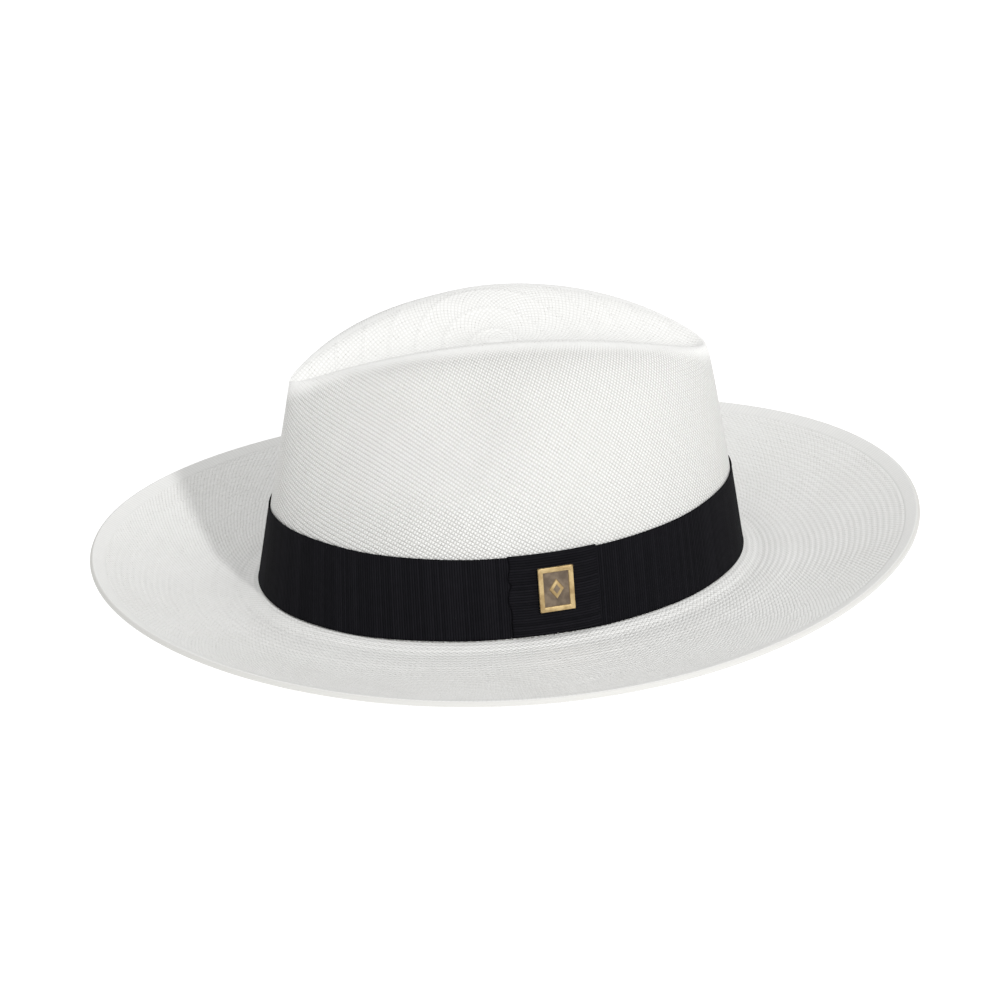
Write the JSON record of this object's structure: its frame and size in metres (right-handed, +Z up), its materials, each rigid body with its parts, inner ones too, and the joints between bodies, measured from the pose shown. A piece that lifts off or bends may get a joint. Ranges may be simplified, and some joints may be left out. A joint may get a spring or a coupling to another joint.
{
  "type": "panama hat",
  "caption": "Wide-brimmed woven straw hat with a centre-dented crown, grosgrain ribbon, metal badge and inner sweatband.",
  "frame": {"origin": "middle of the hat's plan, on the plane that the brim rests on", "axes": "+Z up; the hat's front faces -Y and the wearer's left side, with the knot and the badge, faces +X"},
  "size_m": [0.3234, 0.3495, 0.1114],
  "materials": {
    "straw": "bleached woven toquilla straw, matt with a soft sheen on each strand",
    "thread": "twisted ivory cotton",
    "ribbon": "black grosgrain with fine cross ribs",
    "badge_brass": "antiqued brass, dark in the recess",
    "sweatband_leather": "tan, fine grain, satin",
    "reed_plastic": "translucent white",
    "reed_cover": "dark brown waxed cloth",
    "satin": "ivory satin weave"
  },
  "bodies": {
    "root": {"straw_body": "straw", "brim_hem_thread": "thread", "hatband_ribbon": "ribbon", "hatband_knot": "ribbon", "badge_plate": "badge_brass", "badge_washer": "badge_brass", "sweatband": "sweatband_leather", "sweatband_reed": "reed_plastic", "sweatband_reed_cover": "reed_cover", "sweatband_stitching": "thread", "sweatband_seam_tape": "satin", "size_label": "satin"}
  },
  "joints": []
}
